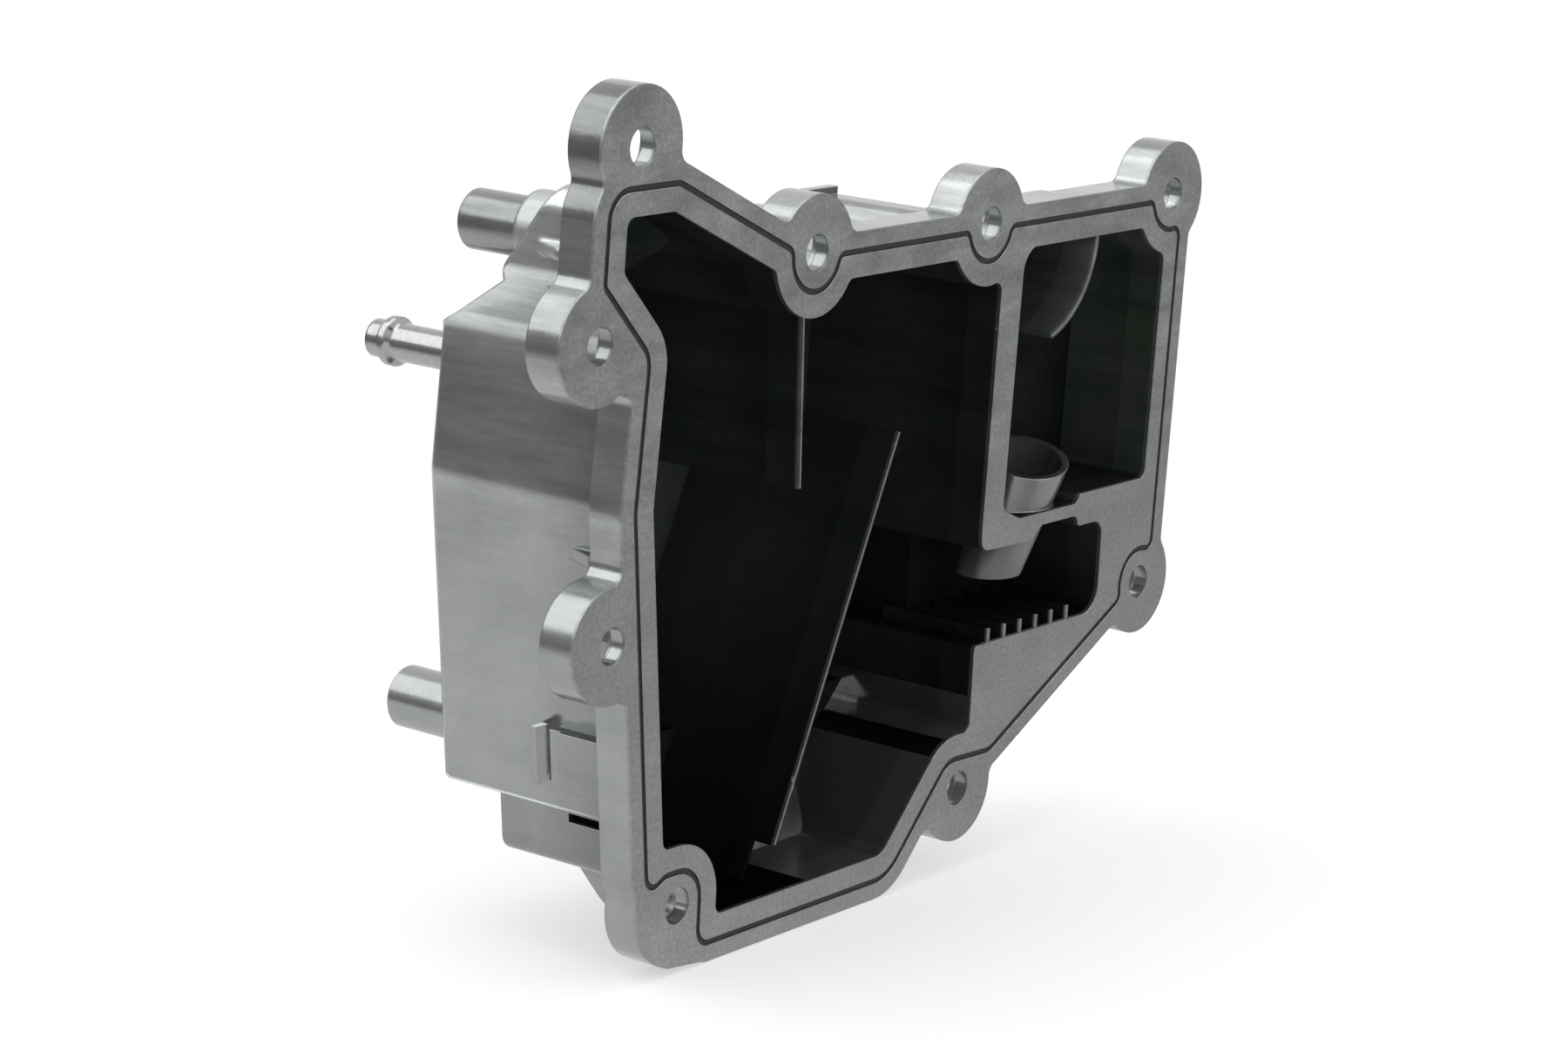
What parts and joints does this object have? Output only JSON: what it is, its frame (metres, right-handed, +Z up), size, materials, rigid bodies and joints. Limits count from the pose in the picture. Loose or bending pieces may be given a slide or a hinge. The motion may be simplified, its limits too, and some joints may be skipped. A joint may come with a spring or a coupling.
{
  "type": "oil separator",
  "caption": "Open oil separator housing, cast in light alloy, with a bolted flange, seal groove, baffles and three hose pipes at the back.",
  "frame": {"origin": "centre of the lower-left bolt hole, on the machined flange face", "axes": "+X to the right along the flange seen from its open side, +Y from the flange face back into the housing, +Z up"},
  "size_m": [0.1875, 0.0668, 0.1509],
  "materials": {
    "cast_alloy": "satin",
    "seal_rubber": "matte",
    "bright_metal": "polished"
  },
  "bodies": {
    "root": {"housing": "cast_alloy", "seal_cord": "seal_rubber", "hose_nipple": "bright_metal"}
  },
  "joints": []
}
